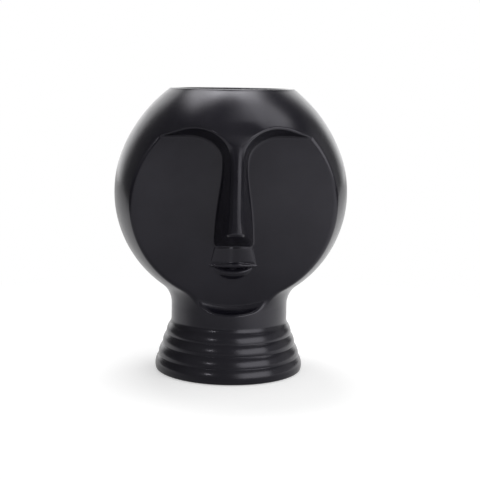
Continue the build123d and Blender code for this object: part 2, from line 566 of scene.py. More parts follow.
def solve_surface(form: FaceForm, rows: np.ndarray, column: np.ndarray, inset: float) -> np.ndarray:
    """Finds where each ray leaves the head, all the way round.

    Args:
        form: The head's outer form.
        rows: Heights of the rows in millimetres.
        column: Column values of one half, from the face's middle to the back's.
        inset: How far inside the outer surface to stop.

    Returns:
        Full rings of points, as rows, columns and (x, y, z).
    """
    rays = Rays(form)
    x0, y0, angle = np.concatenate([rays.at(column, float(z)) for z in rows], axis=1)
    z = np.repeat(rows, len(column))

    def along(reach: np.ndarray) -> np.ndarray:
        """Points at a distance along each ray."""
        return np.stack([x0 + reach * np.sin(angle), y0 - reach * np.cos(angle), z], axis=1)

    near = np.zeros_like(x0)
    far = np.full_like(x0, RAY_REACH)
    for _ in range(RAY_HALVINGS):
        middle = (near + far) / 2.0
        outside = form.distance(along(middle)) + inset > 0.0
        far = np.where(outside, middle, far)
        near = np.where(outside, near, middle)
    half = along((near + far) / 2.0).reshape(len(rows), len(column), 3)
    other = half[:, -2:0:-1] * (-1.0, 1.0, 1.0)
    return np.concatenate([half, other], axis=1)


def face_outwards(mesh: bpy.types.Mesh) -> None:
    """Turns a closed mesh's faces outwards and keeps its corners sharp.

    Args:
        mesh: The mesh to change.
    """
    build = bmesh.new()
    build.from_mesh(mesh)
    bmesh.ops.recalc_face_normals(build, faces=build.faces)
    build.to_mesh(mesh)
    build.free()
    mesh.set_sharp_from_angle(angle=SHARP_FROM)


def add_object(name: str, data: bpy.types.ID) -> bpy.types.Object:
    """Adds an object to the scene.

    Args:
        name: The object's name.
        data: Its mesh, light or camera.

    Returns:
        The new object.
    """
    item = bpy.data.objects.new(name, data)
    bpy.context.scene.collection.objects.link(item)
    return item


def mesh_object(name: str, rings: np.ndarray, faces: list[tuple[int, ...]]) -> bpy.types.Object:
    """Makes a mesh object from rings of points in millimetres.

    Args:
        name: The object's name.
        rings: Rings, columns and (x, y, z).
        faces: Corners of each face, counted from 0 through all rings.

    Returns:
        The new object, with smooth faces that point outwards.
    """
    mesh = bpy.data.meshes.new(name)
    mesh.from_pydata((rings.reshape(-1, 3) * MM).tolist(), [], faces)
    mesh.validate()
    mesh.polygons.foreach_set("use_smooth", [True] * len(mesh.polygons))
    face_outwards(mesh)
    return add_object(name, mesh)


def ring_faces(rings: np.ndarray, closed: bool) -> list[tuple[int, ...]]:
    """Corners of the faces between rings of points.

    Args:
        rings: Rings, columns and (x, y, z).
        closed: Whether the last ring joins the first.

    Returns:
        Four corners for each face.
    """
    count, around = rings.shape[:2]
    faces = []
    for ring in range(count if closed else count - 1):
        upper = (ring + 1) % count
        for place in range(around):
            after = (place + 1) % around
            faces.append((ring * around + place, ring * around + after,
                          upper * around + after, upper * around + place))
    return faces


def capped_object(name: str, rings: np.ndarray) -> bpy.types.Object:
    """Makes an object whose first and last rings are closed by a face each.

    Args:
        name: The object's name.
        rings: Rings, columns and (x, y, z) in millimetres.

    Returns:
        The new object.
    """
    count, around = rings.shape[:2]
    faces = ring_faces(rings, closed=False)
    faces.append(tuple(range(around)))
    faces.append(tuple(range((count - 1) * around, count * around)))
    return mesh_object(name, rings, faces)


def turned_rings(profile: list[Point], angles: np.ndarray) -> np.ndarray:
    """Turns a profile of (radius, height) round the axis.

    Args:
        profile: Points in millimetres.
        angles: Angles from the middle of the face, one for each column.

    Returns:
        Rings, columns and (x, y, z).
    """
    return np.array([
        np.stack([radius * np.sin(angles), -radius * np.cos(angles), np.full_like(angles, height)], axis=1)
        for radius, height in profile
    ])


def full_turn(columns: int) -> np.ndarray:
    """Even angles once round."""
    return np.linspace(0.0, 2.0 * math.pi, columns, endpoint=False)


def ring_angles(ring: np.ndarray) -> np.ndarray:
    """Angles of a ring's points from the middle of the face."""
    return np.arctan2(ring[:, 0], -ring[:, 1])


def arc_points(centre: Point, radius: float, start: float, end: float, count: int) -> list[Point]:
    """Points along an arc of a profile.

    Args:
        centre: The arc's centre as (radius, height).
        radius: The arc's own radius.
        start: First angle in degrees, counted from the horizontal.
        end: Last angle in degrees.
        count: Number of points.

    Returns:
        Points as (radius, height).
    """
    return [(centre[0] + radius * math.cos(angle), centre[1] + radius * math.sin(angle))
            for angle in np.radians(np.linspace(start, end, count))]


class TreeBuilder:
    """Adds nodes to a tree. Inputs are sockets or plain values."""

    def __init__(self, tree: bpy.types.NodeTree) -> None:
        """Keeps the tree to add to."""
        self.tree = tree

    def node(self, kind: str, **settings: object) -> bpy.types.Node:
        """Adds a node.

        Args:
            kind: The node's type.
            **settings: Attributes to set on it.

        Returns:
            The new node.
        """
        node = self.tree.nodes.new(kind)
        for key, value in settings.items():
            setattr(node, key, value)
        return node

    def plug(self, source: object, target: Socket) -> None:
        """Links a socket, or writes a plain value, into a target socket.

        Args:
            source: The socket or value.
            target: The input that gets it.
        """
        if isinstance(source, Socket):
            self.tree.links.new(source, target)
        else:
            target.default_value = source

    def math(self, operation: str, *values: Value) -> Socket:
        """The result of a math node.

        Args:
            operation: The operation's name.
            *values: Its inputs.

        Returns:
            The result's socket.
        """
        node = self.node("ShaderNodeMath", operation=operation)
        for value, target in zip(values, node.inputs):
            self.plug(value, target)
        return node.outputs[0]

    def split(self, vector: Socket) -> tuple[Socket, ...]:
        """Splits a vector.

        Args:
            vector: The vector's socket.

        Returns:
            Its three parts.
        """
        node = self.node("ShaderNodeSeparateXYZ")
        self.plug(vector, node.inputs[0])
        return tuple(node.outputs)

    def ranged(self, source: Value, reads: Point, gives: Point = (0.0, 1.0),
               smooth: bool = False) -> Socket:
        """Maps a value from one range to another.

        Args:
            source: The value.
            reads: Values that give the two ends of the result.
            gives: The two ends of the result.
            smooth: Whether the result eases in and out.

        Returns:
            The result's socket.
        """
        node = self.node("ShaderNodeMapRange", interpolation_type="SMOOTHSTEP" if smooth else "LINEAR")
        for name, value in zip(("From Min", "From Max", "To Min", "To Max"), (*reads, *gives)):
            node.inputs[name].default_value = value
        self.plug(source, node.inputs["Value"])
        return node.outputs["Result"]

    def step(self, source: Value, low: float, high: float) -> Socket:
        """Smooth rise from 0 at low to 1 at high."""
        return self.ranged(source, (low, high), smooth=True)

    def band(self, source: Value, low: float, high: float, soft: float) -> Socket:
        """1 between low and high, with soft ends."""
        return self.math("MULTIPLY", self.step(source, low - soft, low + soft),
                         self.step(source, high + soft, high - soft))

    def blend(self, share: Value, no: Value, yes: Value) -> Socket:
        """Mixes two values by a share.

        Args:
            share: Share of the second value.
            no: Value at share 0.
            yes: Value at share 1.

        Returns:
            The result's socket.
        """
        mix = self.node("ShaderNodeMix", data_type="FLOAT")
        for name, value in (("Factor", share), ("A", no), ("B", yes)):
            self.plug(value, mix.inputs[name])
        return mix.outputs["Result"]


class GeometryTree(TreeBuilder):
    """A Geometry Nodes tree with named inputs."""

    def __init__(self, name: str) -> None:
        """Starts an empty tree.

        Args:
            name: The tree's name.
        """
        super().__init__(bpy.data.node_groups.new(name, "GeometryNodeTree"))
        for way in ("OUTPUT", "INPUT"):
            self.tree.interface.new_socket("Geometry", in_out=way, socket_type="NodeSocketGeometry")
        self.entry = self.node("NodeGroupInput")
        self.values: dict[str, object] = {}

    def input(self, name: str, kind: str, value: object) -> Socket:
        """Adds a named input.

        Args:
            name: The input's name.
            kind: Socket type without its NodeSocket prefix.
            value: What the piece uses.

        Returns:
            The socket that gives the input inside the tree.
        """
        item = self.tree.interface.new_socket(name, in_out="INPUT", socket_type="NodeSocket" + kind)
        self.values[item.identifier] = value
        return self.entry.outputs[name]

    def length(self, name: str, size: float) -> Socket:
        """Adds a named input for a size in millimetres."""
        return self.input(name, "Float", size * MM)

    def combine(self, x: Value, y: Value, z: Value) -> Socket:
        """Joins three sockets or numbers into a vector.

        Args:
            x: First part.
            y: Second part.
            z: Third part.

        Returns:
            The vector's socket.
        """
        node = self.node("ShaderNodeCombineXYZ")
        for value, target in zip((x, y, z), node.inputs):
            self.plug(value, target)
        return node.outputs[0]

    def finish(self, geometry: Socket, material: Socket) -> None:
        """Ends the tree in Realize Instances, smooth faces and Set Material.

        Args:
            geometry: The geometry to finish.
            material: The material input.
        """
        for kind in ("GeometryNodeRealizeInstances", "GeometryNodeSetShadeSmooth", "GeometryNodeSetMaterial"):
            node = self.node(kind)
            self.plug(geometry, node.inputs["Geometry"])
            geometry = node.outputs["Geometry"]
        self.plug(material, node.inputs["Material"])
        self.plug(geometry, self.node("NodeGroupOutput").inputs["Geometry"])

    def plain_mesh(self, name: str, base: bpy.types.Mesh) -> bpy.types.Object:
        """Runs the tree on a base mesh and keeps the result as a plain mesh.

        Args:
            name: Name of the finished piece.
            base: Mesh that the tree starts from.

        Returns:
            The finished object, with no modifier left.
        """
        carrier = add_object(name + "_carrier", base)
        modifier = carrier.modifiers.new("nodes", "NODES")
        modifier.node_group = self.tree
        for identifier, value in self.values.items():
            modifier[identifier] = value
        bpy.context.view_layer.update()
        graph = bpy.context.evaluated_depsgraph_get()
        mesh = bpy.data.meshes.new_from_object(carrier.evaluated_get(graph), depsgraph=graph)
        carrier.modifiers.remove(modifier)
        bpy.data.objects.remove(carrier)
        mesh.name = name
        return add_object(name, mesh)


@dataclass(frozen=True)
class Grain:
    """A layer of noise on a piece's own coordinates, with its scale in waves to the metre."""

    scale: float
    detail: float = 3.0
    roughness: float = 0.5

    def share(self, tree: TreeBuilder, reads: Point, gives: Point = (0.0, 1.0)) -> Socket:
        """The noise, read over one range and given over another."""
        return tree.ranged(self.value(tree), reads, gives)

    def value(self, tree: TreeBuilder) -> Socket:
        """Adds the plain noise.

        Args:
            tree: The material's tree.

        Returns:
            The noise's socket.
        """
        noise = tree.node("ShaderNodeTexNoise")
        for name, value in (("Scale", self.scale), ("Detail", self.detail), ("Roughness", self.roughness),
                            ("Vector", tree.node("ShaderNodeTexCoord").outputs["Object"])):
            tree.plug(value, noise.inputs[name])
        return noise.outputs["Fac"]


@dataclass(frozen=True)
class Finish:
    """A finish with patches of two colours, an uneven roughness and a fine relief."""

    name: str
    dark: tuple[float, float, float]
    light: tuple[float, float, float]
    patches: Grain
    haze: Grain
    rough: Point
    relief: Grain
    relief_strength: float
    relief_depth: float
    patch_reads: Point = (0.35, 0.65)
    haze_reads: Point = (0.3, 0.7)
    cast: tuple[float, float, float] = (1.0, 1.0, 1.0)
    ior: float = 1.5

    def material(self) -> bpy.types.Material:
        """Builds the node material.

        Returns:
            The material.
        """
        material = bpy.data.materials.new(self.name)
        material.use_nodes = True
        material.node_tree.nodes.clear()
        tree = TreeBuilder(material.node_tree)
        shader = tree.node("ShaderNodeBsdfPrincipled")
        tree.plug(shader.outputs["BSDF"], tree.node("ShaderNodeOutputMaterial").inputs["Surface"])
        mix = tree.node("ShaderNodeMix", data_type="RGBA")
        for name, value in (("Factor", self.patches.share(tree, self.patch_reads)),
                            ("A", (*self.dark, 1.0)), ("B", (*self.light, 1.0))):
            tree.plug(value, mix.inputs[name])
        bump = tree.node("ShaderNodeBump")
        for name, value in (("Strength", self.relief_strength), ("Distance", self.relief_depth),
                            ("Height", self.relief.value(tree))):
            tree.plug(value, bump.inputs[name])
        for name, value in (("Base Color", mix.outputs["Result"]),
                            ("Roughness", self.haze.share(tree, self.haze_reads, self.rough)),
                            ("IOR", self.ior), ("Specular Tint", (*self.cast, 1.0)),
                            ("Normal", bump.outputs["Normal"])):
            tree.plug(value, shader.inputs[name])
        return material


@dataclass(frozen=True)
class BlackGlaze(Finish):
    """The outside's black satin glaze, with faint clouds and a fine orange-peel surface."""

    name: str = "black_satin_glaze"
    dark: tuple[float, float, float] = (0.0040, 0.0036, 0.0065)
    light: tuple[float, float, float] = (0.0080, 0.0074, 0.0110)
    patches: Grain = Grain(24.0)
    haze: Grain = Grain(60.0, 4.0, 0.6)
    rough: Point = (0.20, 0.27)
    relief: Grain = Grain(420.0, 2.0)
    relief_strength: float = 0.05
    relief_depth: float = 0.0004
    cast: tuple[float, float, float] = (0.93, 0.91, 1.0)


@dataclass(frozen=True)
class InnerGlaze(Finish):
    """The glossier glaze poured inside, with soft clouds of tone."""

    name: str = "inner_gloss_glaze"
    dark: tuple[float, float, float] = (0.006, 0.006, 0.008)
    light: tuple[float, float, float] = (0.012, 0.012, 0.014)
    patches: Grain = Grain(35.0)
    haze: Grain = Grain(90.0)
    rough: Point = (0.14, 0.3)
    relief: Grain = Grain(110.0, 2.0)
    relief_strength: float = 0.08
    relief_depth: float = 0.0006


@dataclass(frozen=True)
class BareClay(Finish):
    """Unglazed dark clay under the foot, with grit and fine pores."""

    name: str = "bare_dark_clay"
    dark: tuple[float, float, float] = (0.055, 0.050, 0.046)
    light: tuple[float, float, float] = (0.115, 0.105, 0.095)
    patches: Grain = Grain(700.0, 4.0, 0.7)
    haze: Grain = Grain(150.0)
    rough: Point = (0.72, 0.92)
    relief: Grain = Grain(700.0, 4.0, 0.7)
    relief_strength: float = 0.4
    relief_depth: float = 0.0003


@dataclass(frozen=True)
class PadRubber(Finish):
    """Soft grey rubber of the stick-on pads, with dust in its grain."""

    name: str = "pad_rubber"
    dark: tuple[float, float, float] = (0.035, 0.035, 0.037)
    light: tuple[float, float, float] = (0.07, 0.07, 0.072)
    patches: Grain = Grain(900.0, 3.0, 0.6)
    patch_reads: Point = (0.4, 0.7)
    haze: Grain = Grain(900.0, 3.0, 0.6)
    rough: Point = (0.5, 0.75)
    relief: Grain = Grain(900.0, 3.0, 0.6)
    relief_strength: float = 0.2
    relief_depth: float = 0.0001


class Slot(Enum):
    """Material slots of the pieces."""

    BLACK_GLAZE = "black_glaze"
    BARE_CLAY = "bare_clay"
    INNER_GLAZE = "inner_glaze"
    PAD = "pad"


@dataclass
class Piece:
    """A sub-assembly that builds its mesh and dresses it. Sizes are in millimetres."""

    slot: ClassVar[Slot]
    nodes: ClassVar[tuple[str, ...]]
    material: bpy.types.Material

    def build(self) -> bpy.types.Object:
        """Builds the piece's object."""
        raise NotImplementedError

    def dress(self) -> bpy.types.Object:
        """Builds the piece, gives it its finish and sets it in the frame.

        Returns:
            The finished object.
        """
        piece = self.build()
        piece.data.materials.clear()
        piece.data.materials.append(self.material)
        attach(piece, BODY)
        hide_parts(*self.nodes)
        return piece


@dataclass
class Head(Piece):
    """The globe-shaped head with its face, and its rim and inner wall."""

    slot = Slot.BLACK_GLAZE
    nodes = ("head",)
    form: FaceForm = field(default_factory=FaceForm)
    inset: float = 0.03
    wall: float = 5.0
    mouth_r: float = 43.0
    rim_rounding: float = 1.6
    rim_arc_from: float = 35.0
    rim_read_share: float = 0.6
    rim_back_share: float = 1.05
    spigot_r: float = 42.8
    spigot_height: float = 2.5
    last_row_z: float = 218.2
    row_zones: tuple[Zone, ...] = (
        (46.5, 50.0, 3), (50.0, 60.0, 48), (60.0, 66.0, 10), (66.0, 76.0, 8), (76.0, 94.0, 40),
        (94.0, 102.0, 8), (102.0, 118.0, 28), (118.0, 170.0, 28), (170.0, 183.0, 18),
        (183.0, 199.0, 42), (199.0, 218.0, 12),
    )
    inner_zones: tuple[Zone, ...] = ((213.0, 112.0, 9), (100.0, 52.0, 6))

    def rim_profile(self) -> list[Point]:
        """Half profile over the rounded rim, from outside to inside.

        Returns:
            Points as (radius, height).
        """
        r = self.rim_rounding
        top = self.form.outline.top_z
        outer_r = self.form.outline.radius_at(top - r * self.rim_read_share)
        outer_centre = (outer_r - r * self.rim_back_share, top - r)
        return (arc_points(outer_centre, r, self.rim_arc_from, 90.0, 6)
                + arc_points((self.mouth_r + r, top - r), r, 90.0, 180.0, 7))

    def build(self) -> bpy.types.Object:
        """Builds the head as one closed wall of glazed clay.

        Returns:
            The head's object.
        """
        column = Rays(self.form).columns(fine=True)
        rows = np.append(spaced(self.row_zones), self.last_row_z)
        outer = solve_surface(self.form, rows, column, self.inset)
        angles = ring_angles(outer[-1])
        inner_rows = np.concatenate([np.linspace(*zone) for zone in self.inner_zones])
        inner = solve_surface(self.form, inner_rows, column, self.wall)
        seam_z = self.form.outline.low_z
        socket = [(self.spigot_r, seam_z + self.spigot_height), (self.spigot_r, seam_z)]
        rings = np.concatenate([outer, turned_rings(self.rim_profile(), angles), inner,
                                turned_rings(socket, angles)])
        return mesh_object("head_shell", rings, ring_faces(rings, closed=True))


@dataclass
class InnerSkin(Piece):
    """The poured glaze skin inside head, foot and floor."""

    slot = Slot.INNER_GLAZE
    nodes = ("liner_glaze",)
    form: FaceForm = field(default_factory=FaceForm)
    wall: float = 5.0
    glaze: float = 0.5
    mouth_r: float = 43.0
    top_z: float = 216.8
    floor_r: float = 47.0
    floor_z: float = 8.5
    corner: tuple[Point, ...] = ((1.5, 3.0), (3.0, 0.6), (6.0, 0.0))
    inner_floor_r: float = 20.0
    row_zones: tuple[Zone, ...] = ((213.0, 100.0, 46), (97.0, 50.0, 23))

    def low_profile(self, depth: float) -> list[Point]:
        """Half profile from the seam down the foot and over the floor.

        Args:
            depth: Depth in the glaze, from the clay inwards.

        Returns:
            Points as (radius, height).
        """
        seam_z = self.form.outline.low_z
        neck_r = self.form.outline.neck_r - self.wall - depth
        floor_r = self.floor_r - depth
        floor_z = self.floor_z + depth
        middle = ((neck_r + floor_r) / 2.0, (seam_z + self.floor_z) / 2.0)
        corner = [(floor_r - inward, floor_z + up) for inward, up in self.corner]
        return [(neck_r, seam_z), middle, *corner, (self.inner_floor_r, floor_z), (POLE_R, floor_z)]

    def build(self) -> bpy.types.Object:
        """Builds the skin as a closed thin shell.

        Returns:
            The skin's object.
        """
        column = Rays(self.form).columns(fine=False)
        rows = np.concatenate([np.linspace(*zone) for zone in self.row_zones])
        shells = []
        for depth in (0.0, self.glaze):
            wall = solve_surface(self.form, rows, column, self.wall + depth)
            top = turned_rings([(self.mouth_r - depth, self.top_z)], ring_angles(wall[0]))
            low = turned_rings(self.low_profile(depth), ring_angles(wall[-1]))
            shells.append(np.concatenate([top, wall, low]))
        outer, inner = shells
        return capped_object("inner_skin", np.concatenate([outer[::-1], inner]))


@dataclass
class RingedFoot(Piece):
    """The foot: four rings that bulge between narrow grooves, and a flare into the neck."""

    slot = Slot.BLACK_GLAZE
    nodes = ("ribbed_foot",)
    grooves: tuple[Point, ...] = ((49.2, 29.2), (52.0, 20.5), (55.3, 11.8))
    bulge_r: float = 12.0
    groove_softness: float = 0.35
    flare_top_z: float = 41.0
    flare_r: float = 7.85
    flare_angle: float = math.radians(36.0)
    seam_r: float = 45.4
    seam_z: float = 46.5
    spigot_r: float = 42.8
    spigot_height: float = 2.5
    bore_top_r: float = 40.4
    bore_low_r: float = 47.0
    floor_r: float = 50.0
    floor_z: float = 8.5
    foot_edge_r: float = 57.2
    edge_rounding: float = 1.2
    edge_angle: float = math.radians(14.5)
    edge_arc: Zone = (-90.0, -16.0, 6)
    edge_z: float = 1.4
    low_z: float = 0.5
    columns: int = 220
    rows: int = 260
    merge_distance: float = 2e-5

    def bulge_centre(self, top: Point, bottom: Point) -> Point:
        """Centre of a ring's round side, as (radius, height).

        Args:
            top: Radius and height of the ring's upper end.
            bottom: Radius and height of its lower end.

        Returns:
            Radius and height of the centre.
        """
        half = math.dist(top, bottom) / 2.0
        reach = math.sqrt(self.bulge_r**2 - half**2)
        run_r = (bottom[0] - top[0]) / (2.0 * half)
        run_z = (bottom[1] - top[1]) / (2.0 * half)
        return (top[0] + bottom[0]) / 2.0 + run_z * reach, (top[1] + bottom[1]) / 2.0 - run_r * reach

    @property
    def ring_ends(self) -> list[Point]:
        """Upper end of the top ring, the grooves, and the foot's edge.

        Returns:
            Points as (radius, height).
        """
        flare_end = (self.seam_r + self.flare_r * (1.0 - math.cos(self.flare_angle)),
                     self.flare_top_z - self.flare_r * math.sin(self.flare_angle))
        return [flare_end, *self.grooves, (self.foot_edge_r, self.low_z)]

    @staticmethod
    def reach_at(tree: GeometryTree, height: Value, centre_z: Value, radius: Value) -> Socket:
        """How far a round side reaches out from its centre at each height.

        Args:
            tree: The tree to add to.
            height: Height of the point.
            centre_z: Height of the round's centre.
            radius: The round's own radius.

        Returns:
            The reach's socket.
        """
        rise = tree.math("SUBTRACT", height, centre_z)
        square = tree.math("SUBTRACT", tree.math("MULTIPLY", radius, radius),
                           tree.math("MULTIPLY", rise, rise))
        return tree.math("SQRT", tree.math("MAXIMUM", square, 0.0))

    def outer_radius(self, tree: GeometryTree, height: Value, seam_r: Value) -> Socket:
        """Radius of the foot's outside at each height.

        Args:
            tree: The tree to add to.
            height: Height of the point.
            seam_r: Radius of the seam with the head.

        Returns:
            The radius's socket.
        """
        bulge_r = tree.length("Bulge Radius", self.bulge_r)
        softness = tree.length("Groove Softness", self.groove_softness)
        flare_r = tree.length("Flare Radius", self.flare_r)
        flare_top = tree.length("Flare Top", self.flare_top_z)
        ends = self.ring_ends
        join_r, join_z = (size * MM for size in ends[0])
        radius = None
        for number, (top, bottom) in enumerate(zip(ends, ends[1:]), start=1):
            centre = self.bulge_centre(top, bottom)
            centre_r = tree.length(f"Ring {number} Centre Radius", centre[0])
            centre_z = tree.length(f"Ring {number} Centre Height", centre[1])
            at = tree.math("MINIMUM", height, join_z) if radius is None else height
            side = tree.math("ADD", centre_r, self.reach_at(tree, at, centre_z, bulge_r))
            radius = side if radius is None else tree.math("SMOOTH_MAX", radius, side, softness)
        at = tree.math("MINIMUM", tree.math("MAXIMUM", height, join_z), flare_top)
        flare = tree.math("SUBTRACT", tree.math("ADD", seam_r, flare_r),
                          self.reach_at(tree, at, flare_top, flare_r))
        return tree.math("ADD", radius, tree.math("SUBTRACT", flare, join_r))

    @staticmethod
    def sheet(tree: GeometryTree, columns: Value, rows: Value) -> tuple[Socket, ...]:
        """A flat sheet of columns and rows, before it is rolled up.

        Args:
            tree: The tree to add to.
            columns: Number of points round the foot.
            rows: Number of points up the foot.

        Returns:
            Each point's angle, its share of the height, and the sheet.
        """
        grid = tree.node("GeometryNodeMeshGrid")
        for name, value in (("Size X", 1.0), ("Size Y", 1.0), ("Vertices X", columns), ("Vertices Y", rows)):
            tree.plug(value, grid.inputs[name])
        x, y, _ = tree.split(tree.node("GeometryNodeInputPosition").outputs[0])
        turn = tree.math("MULTIPLY", tree.math("ADD", x, 0.5), 2.0 * math.pi)
        return turn, tree.math("ADD", y, 0.5), grid.outputs["Mesh"]

    @staticmethod
    def rolled(tree: GeometryTree, sheet: Value, radius: Value, turn: Value,
               height: Value) -> Socket:
        """Rolls a sheet up round the axis.

        Args:
            tree: The tree to add to.
            sheet: The flat sheet.
            radius: Radius of each point.
            turn: Angle of each point.
            height: Height of each point.

        Returns:
            The rolled sheet's socket.
        """
        moved = tree.node("GeometryNodeSetPosition")
        tree.plug(sheet, moved.inputs["Geometry"])
        place = tree.combine(tree.math("MULTIPLY", radius, tree.math("COSINE", turn)),
                             tree.math("MULTIPLY", radius, tree.math("SINE", turn)), height)
        tree.plug(place, moved.inputs["Position"])
        return moved.outputs["Geometry"]

    def inner_profile(self) -> tuple[list[Point], float]:
        """The foot's hidden side: stepped top, bore, floor step, standing ring and rounded edge.

        Returns:
            Points as (radius, height), and the radius where the outside begins.
        """
        centre_r, centre_z = self.bulge_centre(*self.ring_ends[-2:])
        outer_r = centre_r + math.sqrt(self.bulge_r**2 - (self.edge_z - centre_z) ** 2)
        rounding = self.edge_rounding
        edge_centre = (outer_r - rounding * math.cos(self.edge_angle), self.low_z + rounding)
        top_z = self.seam_z + self.spigot_height
        wall = [(self.spigot_r, self.seam_z), (self.spigot_r, top_z), (self.bore_top_r, top_z),
                (self.bore_top_r, self.seam_z), (self.bore_low_r, self.floor_z),
                (self.floor_r, self.floor_z), (self.floor_r, self.low_z)]
        return wall + arc_points(edge_centre, rounding, *self.edge_arc), outer_r

    def build(self) -> bpy.types.Object:
        """Builds the rings and the inside of the foot with Geometry Nodes.

        Returns:
            The foot's object.
        """
        tree = GeometryTree("ringed_foot")
        columns = tree.input("Columns", "Int", self.columns + 1)
        rows = tree.input("Rows", "Int", self.rows)
        seam_r = tree.length("Seam Radius", self.seam_r)
        seam_z = tree.length("Seam Height", self.seam_z)
        edge_z = tree.length("Edge Height", self.edge_z)
        finish = tree.input("Finish", "Material", self.material)

        turn, share, grid = self.sheet(tree, columns, rows)
        rise = tree.math("MULTIPLY", share, tree.math("SUBTRACT", seam_z, edge_z))
        height = tree.math("ADD", edge_z, rise)
        outside = self.rolled(tree, grid, self.outer_radius(tree, height, seam_r), turn, height)

        profile, outer_r = self.inner_profile()
        turn, share, grid = self.sheet(tree, columns, len(profile) + 2)
        row = tree.math("ROUND", tree.math("MULTIPLY", share, len(profile) + 1))
        picked = []
        for axis, start, end in ((0, seam_r, outer_r * MM), (1, seam_z, edge_z)):
            values = [start, *(point[axis] * MM for point in profile), end]
            pick = tree.node("GeometryNodeIndexSwitch", data_type="FLOAT")
            while len(pick.index_switch_items) < len(values):
                pick.index_switch_items.new()
            for value, target in zip((row, *values), pick.inputs):
                tree.plug(value, target)
            picked.append(pick.outputs[0])
        inside = self.rolled(tree, grid, picked[0], turn, picked[1])

        joined = tree.node("GeometryNodeJoinGeometry")
        for part in (outside, inside):
            tree.plug(part, joined.inputs[0])
        merged = tree.node("GeometryNodeMergeByDistance")
        tree.plug(joined.outputs[0], merged.inputs["Geometry"])
        merged.inputs["Distance"].default_value = self.merge_distance
        tree.finish(merged.outputs["Geometry"], finish)
        piece = tree.plain_mesh("ringed_foot", bpy.data.meshes.new("foot_base"))
        face_outwards(piece.data)
        return piece


@dataclass
class ClayFloor(Piece):
    """The clay disc that closes the foot from below, with faint turning rings."""

    slot = Slot.BARE_CLAY
    nodes = ("foot_floor",)
    radius: float = 49.9
    low_z: float = 3.5
    top_z: float = 8.4
    turning_rings: int = 6
    ring_depth: float = 0.15
    edge: Point = (0.6, 0.5)
    points: int = 43
    columns: int = 96

    def build(self) -> bpy.types.Object:
        """Builds the disc.

        Returns:
            The disc's object.
        """
        profile = []
        for step in np.linspace(0.0, 1.0, self.points):
            wave = (1.0 - math.cos(step * self.turning_rings * 2.0 * math.pi)) / 2.0
            radius = POLE_R + step * (self.radius - self.edge[0])
            profile.append((radius, self.low_z + wave * self.ring_depth))
        profile += [(self.radius, self.low_z + self.edge[1]), (self.radius, self.top_z), (POLE_R, self.top_z)]
        return capped_object("clay_floor", turned_rings(profile, full_turn(self.columns)))


@dataclass
class FootPads(Piece):
    """The four stick-on pads under the floor."""

    slot = Slot.PAD
    nodes = ("foot_pad_1", "foot_pad_2", "foot_pad_3", "foot_pad_4")
    circle_r: float = 38.0
    first_angle: float = math.radians(45.0)
    radius: float = 6.0
    height: float = 3.5
    rounding: float = 0.9
    crown: float = 0.1
    edge_arc: Zone = (-75.0, 0.0, 6)
    underside: tuple[Point, ...] = ((POLE_R, 0.0), (1.6, 0.01), (3.2, 0.04))
    columns: int = 40

    def pad_mesh(self) -> bpy.types.Mesh:
        """Builds one pad with a softly crowned underside, standing at the origin.

        Returns:
            The pad's mesh.
        """
        flat_r = self.radius - self.rounding
        edge = arc_points((flat_r, self.rounding + self.crown), self.rounding, *self.edge_arc)
        profile = [*self.underside, (flat_r, self.crown), *edge,
                   (self.radius, self.height), (POLE_R, self.height)]
        pad = capped_object("pad_form", turned_rings(profile, full_turn(self.columns)))
        mesh = pad.data
        bpy.data.objects.remove(pad)
        return mesh

    def build(self) -> bpy.types.Object:
        """Sets the pads on their circle with Geometry Nodes.

        Returns:
            The pads' object.
        """
        tree = GeometryTree("pads_on_circle")
        count = tree.input("Pad Count", "Int", len(self.nodes))
        circle_r = tree.length("Circle Radius", self.circle_r)
        turned = tree.input("First Pad Angle", "Float", self.first_angle)
        finish = tree.input("Finish", "Material", self.material)
        circle = tree.node("GeometryNodeMeshCircle")
        tree.plug(count, circle.inputs["Vertices"])
        tree.plug(circle_r, circle.inputs["Radius"])
        spin = tree.node("GeometryNodeTransform")
        tree.plug(circle.outputs["Mesh"], spin.inputs["Geometry"])
        tree.plug(tree.combine(0.0, 0.0, turned), spin.inputs["Rotation"])
        spread = tree.node("GeometryNodeInstanceOnPoints")
        tree.plug(spin.outputs["Geometry"], spread.inputs["Points"])
        tree.plug(tree.entry.outputs["Geometry"], spread.inputs["Instance"])
        tree.finish(spread.outputs["Instances"], finish)
        return tree.plain_mesh("foot_pads", self.pad_mesh())


@dataclass(frozen=True)
class SoftLamp:
    """A rectangular soft lamp, aimed at a point. Metres."""

    name: str
    place: tuple[float, float, float]
    aim_z: float
    width: float
    height: float
    radiance: float
    mirrored: bool = False

    def build(self) -> None:
        """Adds the lamp to the scene."""
        data = bpy.data.lights.new(self.name, "AREA")
        data.shape = "RECTANGLE"
        data.size = self.width
        data.size_y = self.height
        data.energy = self.radiance * math.pi * self.width * self.height
        lamp = add_object(self.name, data)
        lamp.location = self.place
        lamp.visible_glossy = self.mirrored
        way = Vector((0.0, 0.0, self.aim_z)) - Vector(self.place)
        lamp.rotation_euler = way.to_track_quat("-Z", "Y").to_euler()


@dataclass(frozen=True)
class PaintedReflectionWindow:
    """A soft bright region round the vase that the glaze mirrors, painted into the world for glossy rays
    only: a painted reflection. Angles in degrees.
    """

    azimuth: float
    half_width: float
    side_soft: float
    low: float
    high: float
    end_soft: float
    level: float


@dataclass(frozen=True)
class PaintedReflectionPanel:
    """A soft rectangle overhead that the glaze mirrors, painted into the world for glossy rays only: a
    painted reflection of overhead softbox light, in shares of its height above the vase.
    """

    left: float
    right: float
    front: float
    back: float
    soft: float
    level: float


